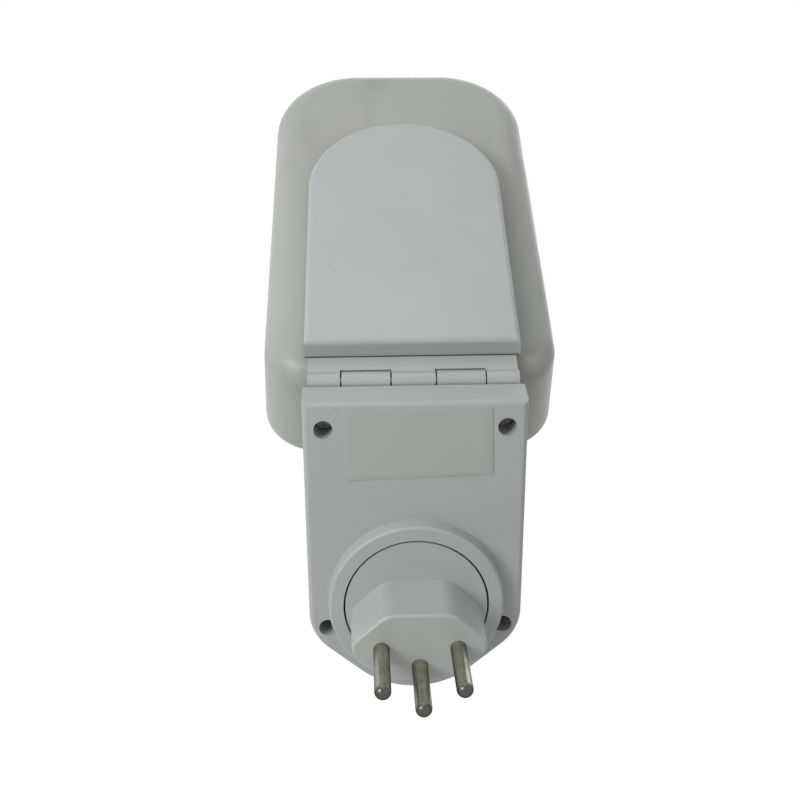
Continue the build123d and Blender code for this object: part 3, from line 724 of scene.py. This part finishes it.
class TIMESWITCH_OT_stage(Operator):
    """Set the pale floor, the soft lamps, the surroundings and the camera"""
    bl_idname = "timeswitch.stage"
    bl_label = "Stage"

    def execute(self, context):
        scene = context.scene
        stage = scene.timeswitch_stage
        scene.view_settings.view_transform = "Standard"
        self.floor(scene, stage)
        self.world(scene, stage)
        self.lamp(scene, "key_lamp", stage.key_place, stage.key_size, stage.key_power)
        self.lamp(scene, "top_lamp", stage.top_place, stage.top_size, stage.top_power)
        self.lamp(scene, "room_lamp", stage.room_place, stage.room_size, stage.room_power)
        self.camera(scene, stage)
        return {"FINISHED"}

    @staticmethod
    def floor(scene, stage):
        """Square floor under the part: white to the camera, with a share of plain diffuse for shadows."""
        level = min(corner[2] for corner in cad_box) - stage.floor_drop
        square = np.array([[-1, -1, 0], [1, -1, 0], [1, 1, 0], [-1, 1, 0]])
        corners = square * stage.floor_size / 2 + np.array([0, 0, level])
        mesh = bpy.data.meshes.new("floor")
        mesh.from_pydata(corners.tolist(), [], [[0, 1, 2, 3]])
        floor = bpy.data.objects.new("floor", mesh)
        scene.collection.objects.link(floor)
        material = bpy.data.materials.new("pale_floor")
        material.use_nodes = True
        tree = material.node_tree
        tree.nodes.clear()
        glow = tree.nodes.new("ShaderNodeEmission")
        glow.inputs["Strength"].default_value = stage.floor_glow
        matt = tree.nodes.new("ShaderNodeBsdfDiffuse")
        matt.inputs["Color"].default_value = (*stage.floor_colour, 1.0)
        share = spread(tree, direct_view(tree), source=(0.0, 1.0), target=(0.0, stage.glow_share))
        mix = tree.nodes.new("ShaderNodeMixShader")
        tree.links.new(share, mix.inputs["Fac"])
        for socket, shade in zip(SHADER_MIX_INPUTS, (matt.outputs["BSDF"], glow.outputs["Emission"])):
            tree.links.new(shade, mix.inputs[socket])
        out = tree.nodes.new("ShaderNodeOutputMaterial")
        tree.links.new(mix.outputs["Shader"], out.inputs["Surface"])
        mesh.materials.append(material)

    @staticmethod
    def world(scene, stage):
        """Surroundings that are white where seen and softer as light."""
        world = bpy.data.worlds.new("studio")
        scene.world = world
        world.use_nodes = True
        tree = world.node_tree
        backdrop = tree.nodes["Background"]
        backdrop.inputs["Color"].default_value = (1.0, 1.0, 1.0, 1.0)
        strength = spread(tree, direct_view(tree), source=(0.0, 1.0), target=(stage.ambient, 1.0))
        tree.links.new(strength, backdrop.inputs["Strength"])

    @staticmethod
    def lamp(scene, name, place, size, power):
        """Square soft lamp at a place, aimed at the middle of the part."""
        middle = Vector(np.mean([list(corner) for corner in cad_box], axis=0))
        data = bpy.data.lights.new(name, "AREA")
        data.size = size
        data.energy = power
        lamp = bpy.data.objects.new(name, data)
        lamp.location = place
        lamp.rotation_euler = (middle - Vector(place)).to_track_quat("-Z", "Y").to_euler()
        scene.collection.objects.link(lamp)

    @staticmethod
    def camera(scene, stage):
        """Camera turned about the vertical, tilted and rolled, looking along +Y before its turns."""
        data = bpy.data.cameras.new("photo_camera")
        data.lens = stage.lens
        data.sensor_width = stage.sensor
        camera = bpy.data.objects.new("photo_camera", data)
        turn = Matrix.Rotation(stage.pan, 4, "Z") @ Matrix.Rotation(stage.pitch, 4, "X")
        turn = turn @ Matrix.Rotation(stage.roll, 4, "Y") @ Matrix.Rotation(pi / 2, 4, "X")
        camera.matrix_world = Matrix.Translation(stage.camera_place) @ turn
        scene.collection.objects.link(camera)
        scene.camera = camera


class TIMESWITCH_PT_panel(Panel):
    """Lists the operators and settings of the time switch"""
    bl_idname = "TIMESWITCH_PT_panel"
    bl_label = "Time switch"
    bl_space_type = "VIEW_3D"
    bl_region_type = "UI"
    bl_category = "Time switch"

    def draw(self, context):
        for operator in OPERATORS:
            self.layout.operator(operator.bl_idname)
        for name, settings in SETTINGS.items():
            box = self.layout.box()
            box.label(text=name.split("_")[1].title())
            for field in settings.__annotations__:
                box.prop(getattr(context.scene, name), field)


SETTINGS = {
    "timeswitch_finish": FinishSettings,
    "timeswitch_label": LabelSettings,
    "timeswitch_seam": SeamShadowSettings,
    "timeswitch_display": DisplaySettings,
    "timeswitch_keys": KeyMarkSettings,
    "timeswitch_stage": StageSettings,
}
OPERATORS = (
    TIMESWITCH_OT_finishes,
    TIMESWITCH_OT_label,
    TIMESWITCH_OT_seam_shadow,
    TIMESWITCH_OT_display,
    TIMESWITCH_OT_key_marks,
    TIMESWITCH_OT_stage,
)


def register():
    """Add the settings, the operators and the panel."""
    for settings in SETTINGS.values():
        bpy.utils.register_class(settings)
    for name, settings in SETTINGS.items():
        setattr(bpy.types.Scene, name, PointerProperty(type=settings))
    for operator in OPERATORS:
        bpy.utils.register_class(operator)
    bpy.utils.register_class(TIMESWITCH_PT_panel)


def unregister():
    """Take the panel, the operators and the settings away again."""
    bpy.utils.unregister_class(TIMESWITCH_PT_panel)
    for operator in reversed(OPERATORS):
        bpy.utils.unregister_class(operator)
    for name in SETTINGS:
        delattr(bpy.types.Scene, name)
    for settings in reversed(list(SETTINGS.values())):
        bpy.utils.unregister_class(settings)


def main():
    register()
    bpy.ops.timeswitch.finishes()
    bpy.ops.timeswitch.label()
    bpy.ops.timeswitch.seam()
    bpy.ops.timeswitch.display()
    bpy.ops.timeswitch.key_marks()
    bpy.ops.timeswitch.stage()


if __name__ == "__main__":
    main()
